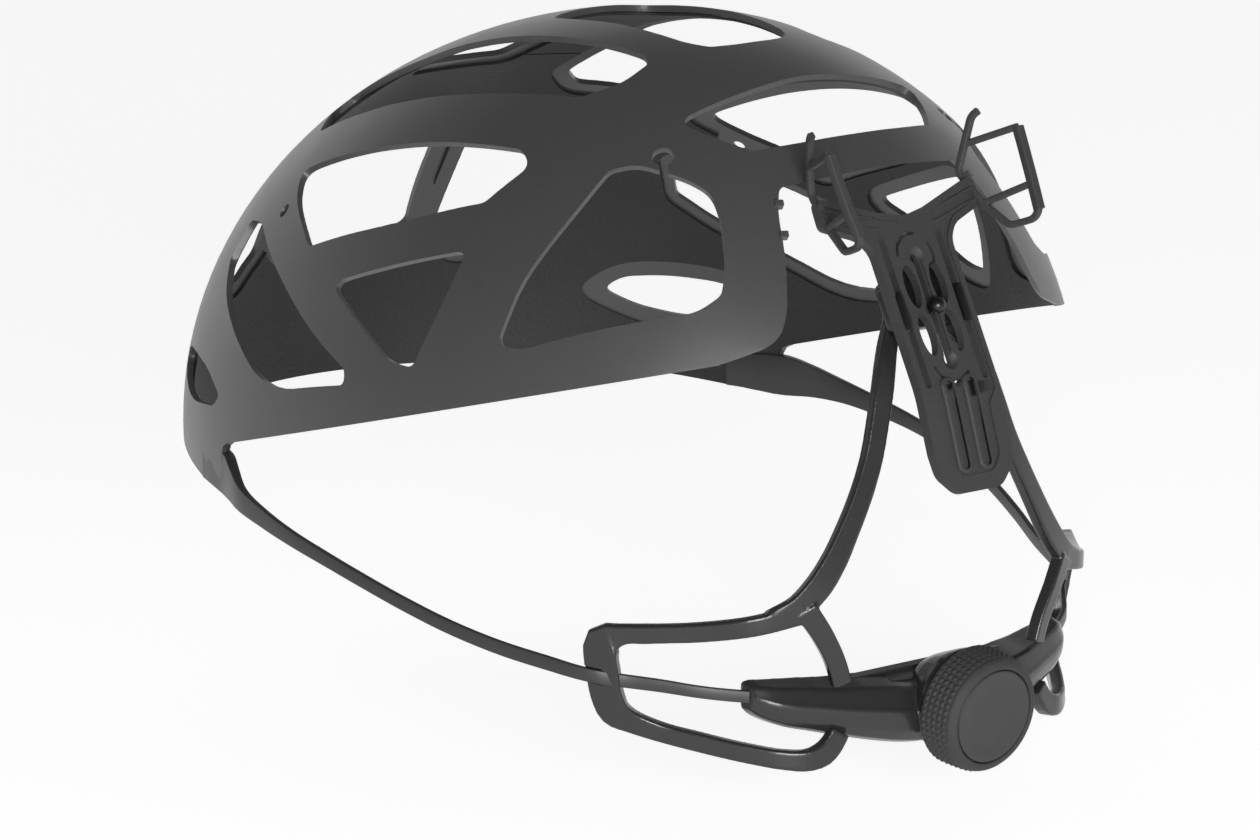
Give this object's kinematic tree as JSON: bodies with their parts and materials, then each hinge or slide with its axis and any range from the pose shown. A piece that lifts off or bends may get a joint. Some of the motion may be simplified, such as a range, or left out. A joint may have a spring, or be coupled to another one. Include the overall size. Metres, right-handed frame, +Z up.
{
  "type": "helmet fit system liner",
  "caption": "Vented inner liner shell of an open-face bicycle helmet with an adjustable rear cradle and a knurled tensioning dial.",
  "frame": {"origin": "middle of the underside of the whole part, as worn", "axes": "+Z up, -Y towards the brow, +X towards the wearer's left"},
  "size_m": [0.1688, 0.2153, 0.1374],
  "materials": {
    "shell_nylon": "satin moulded nylon",
    "lining_texture": "fine spark-eroded texture",
    "belt_nylon": "smooth satin",
    "hanger_nylon": "fine matte grain",
    "cradle_gloss": "semi-gloss",
    "drive_acetal": "smooth acetal",
    "grip_rubber": "matte knurled",
    "cap_plastic": "fine matte",
    "screw_steel": "plated"
  },
  "bodies": {
    "liner": {"liner_shell": "shell_nylon", "brow_lining": "lining_texture", "left_lining": "lining_texture", "right_lining": "lining_texture", "crown_lining": "lining_texture", "left_belt": "belt_nylon", "right_belt": "belt_nylon", "rear_yoke": "hanger_nylon", "left_anchor_cage": "hanger_nylon", "right_anchor_cage": "hanger_nylon"},
    "cradle": {"detent_slider": "cradle_gloss", "cradle_frame": "cradle_gloss", "dial_housing": "cradle_gloss", "housing_base": "cradle_gloss", "click_ring": "drive_acetal"},
    "dial": {"drive_spindle": "drive_acetal", "click_spring": "drive_acetal", "dial_core": "cap_plastic", "dial_grip": "grip_rubber", "dial_cap": "cap_plastic", "spindle_screw": "screw_steel"},
    "left_rack_body": {"left_rack": "drive_acetal"},
    "right_rack_body": {"right_rack": "drive_acetal"}
  },
  "joints": [
    {"name": "height_slide", "type": "slide", "parent": "liner", "child": "cradle", "axis": [0, -0.4618, 0.887], "range_m": [-0.0107, 0.0107], "deforming": ["left_belt", "right_belt"]},
    {"name": "dial_spin", "type": "hinge", "parent": "cradle", "child": "dial", "pos_m": [0, 0.09745, 0.01253], "axis": [0, 0.9903, -0.1392], "range_deg": [-150, 150]},
    {"name": "left_rack_slide", "type": "slide", "parent": "cradle", "child": "left_rack_body", "axis": [1, 0, 0], "range_m": [-0.00659, 0.00659]},
    {"name": "right_rack_slide", "type": "slide", "parent": "cradle", "child": "right_rack_body", "axis": [1, 0, 0], "range_m": [-0.00659, 0.00659]}
  ],
  "couplings": [
    {"joint": "left_rack_slide", "follows": "dial_spin", "m_per_rad": 0.0025},
    {"joint": "right_rack_slide", "follows": "dial_spin", "m_per_rad": -0.0025}
  ]
}
